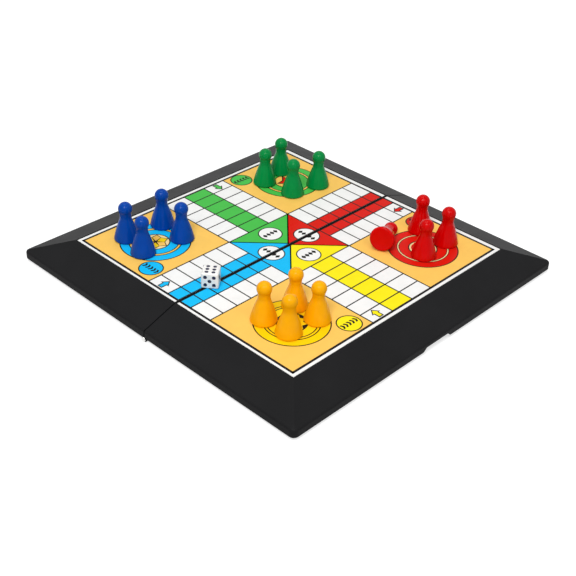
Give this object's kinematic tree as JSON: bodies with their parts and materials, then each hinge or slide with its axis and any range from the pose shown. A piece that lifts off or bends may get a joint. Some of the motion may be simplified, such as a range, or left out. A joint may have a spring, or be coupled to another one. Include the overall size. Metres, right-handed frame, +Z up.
{
  "type": "folding ludo board box",
  "caption": "Folding two-part game case whose hipped outside carries a printed ludo board, with turned pawns and a die standing on it.",
  "frame": {"origin": "middle of the seam, level with the lowest point of the hinge knuckles", "axes": "+X along the seam, +Y to the rear half, +Z up, printed faces up"},
  "size_m": [0.2384, 0.2364, 0.0417],
  "materials": {
    "black_shell": "satin moulded plastic",
    "printed_sheet": "printed film, semi-gloss",
    "pin_steel": "bright drawn wire",
    "die_plastic": "polished, dark painted pips",
    "blue_plastic": "satin moulded plastic",
    "green_plastic": "satin moulded plastic",
    "orange_plastic": "satin moulded plastic",
    "red_plastic": "satin moulded plastic"
  },
  "bodies": {
    "rear_half": {"rear_half_shell": "black_shell", "rear_print_sheet": "printed_sheet"},
    "front_half": {"front_half_shell": "black_shell", "front_print_sheet": "printed_sheet", "left_hinge_pin": "pin_steel", "right_hinge_pin": "pin_steel"},
    "blue_pawn_1": {"blue_pawn_1": "blue_plastic"},
    "blue_pawn_2": {"blue_pawn_2": "blue_plastic"},
    "blue_pawn_3": {"blue_pawn_3": "blue_plastic"},
    "blue_pawn_4": {"blue_pawn_4": "blue_plastic"},
    "green_pawn_1": {"green_pawn_1": "green_plastic"},
    "green_pawn_2": {"green_pawn_2": "green_plastic"},
    "green_pawn_3": {"green_pawn_3": "green_plastic"},
    "green_pawn_4": {"green_pawn_4": "green_plastic"},
    "yellow_pawn_1": {"yellow_pawn_1": "orange_plastic"},
    "yellow_pawn_2": {"yellow_pawn_2": "orange_plastic"},
    "yellow_pawn_3": {"yellow_pawn_3": "orange_plastic"},
    "yellow_pawn_4": {"yellow_pawn_4": "orange_plastic"},
    "red_pawn_1": {"red_pawn_1": "red_plastic"},
    "red_pawn_2": {"red_pawn_2": "red_plastic"},
    "red_pawn_3": {"red_pawn_3": "red_plastic"},
    "red_pawn_lying": {"red_pawn_lying": "red_plastic"},
    "die": {"die": "die_plastic"}
  },
  "joints": [
    {"name": "case_hinge", "type": "hinge", "parent": "rear_half", "child": "front_half", "pos_m": [0, 0, 0.0019], "axis": [1, 0, 0], "range_deg": [0, 180]},
    {"name": "blue_pawn_1_lift", "type": "slide", "parent": "rear_half", "child": "blue_pawn_1", "axis": [0, 0, 1], "range_m": [0, 0.03]},
    {"name": "blue_pawn_2_lift", "type": "slide", "parent": "rear_half", "child": "blue_pawn_2", "axis": [0, 0, 1], "range_m": [0, 0.03]},
    {"name": "blue_pawn_3_lift", "type": "slide", "parent": "rear_half", "child": "blue_pawn_3", "axis": [0, 0, 1], "range_m": [0, 0.03]},
    {"name": "blue_pawn_4_lift", "type": "slide", "parent": "rear_half", "child": "blue_pawn_4", "axis": [0, 0, 1], "range_m": [0, 0.03]},
    {"name": "green_pawn_1_lift", "type": "slide", "parent": "rear_half", "child": "green_pawn_1", "axis": [0, 0, 1], "range_m": [0, 0.03]},
    {"name": "green_pawn_2_lift", "type": "slide", "parent": "rear_half", "child": "green_pawn_2", "axis": [0, 0, 1], "range_m": [0, 0.03]},
    {"name": "green_pawn_3_lift", "type": "slide", "parent": "rear_half", "child": "green_pawn_3", "axis": [0, 0, 1], "range_m": [0, 0.03]},
    {"name": "green_pawn_4_lift", "type": "slide", "parent": "rear_half", "child": "green_pawn_4", "axis": [0, 0, 1], "range_m": [0, 0.03]},
    {"name": "yellow_pawn_1_lift", "type": "slide", "parent": "front_half", "child": "yellow_pawn_1", "axis": [0, 0, 1], "range_m": [0, 0.03]},
    {"name": "yellow_pawn_2_lift", "type": "slide", "parent": "front_half", "child": "yellow_pawn_2", "axis": [0, 0, 1], "range_m": [0, 0.03]},
    {"name": "yellow_pawn_3_lift", "type": "slide", "parent": "front_half", "child": "yellow_pawn_3", "axis": [0, 0, 1], "range_m": [0, 0.03]},
    {"name": "yellow_pawn_4_lift", "type": "slide", "parent": "front_half", "child": "yellow_pawn_4", "axis": [0, 0, 1], "range_m": [0, 0.03]},
    {"name": "red_pawn_1_lift", "type": "slide", "parent": "front_half", "child": "red_pawn_1", "axis": [0, 0, 1], "range_m": [0, 0.03]},
    {"name": "red_pawn_2_lift", "type": "slide", "parent": "front_half", "child": "red_pawn_2", "axis": [0, 0, 1], "range_m": [0, 0.03]},
    {"name": "red_pawn_3_lift", "type": "slide", "parent": "front_half", "child": "red_pawn_3", "axis": [0, 0, 1], "range_m": [0, 0.03]},
    {"name": "red_pawn_lying_lift", "type": "slide", "parent": "front_half", "child": "red_pawn_lying", "axis": [0, 0, 1], "range_m": [0, 0.03]},
    {"name": "die_lift", "type": "slide", "parent": "rear_half", "child": "die", "axis": [0, 0, 1], "range_m": [0, 0.03]}
  ]
}
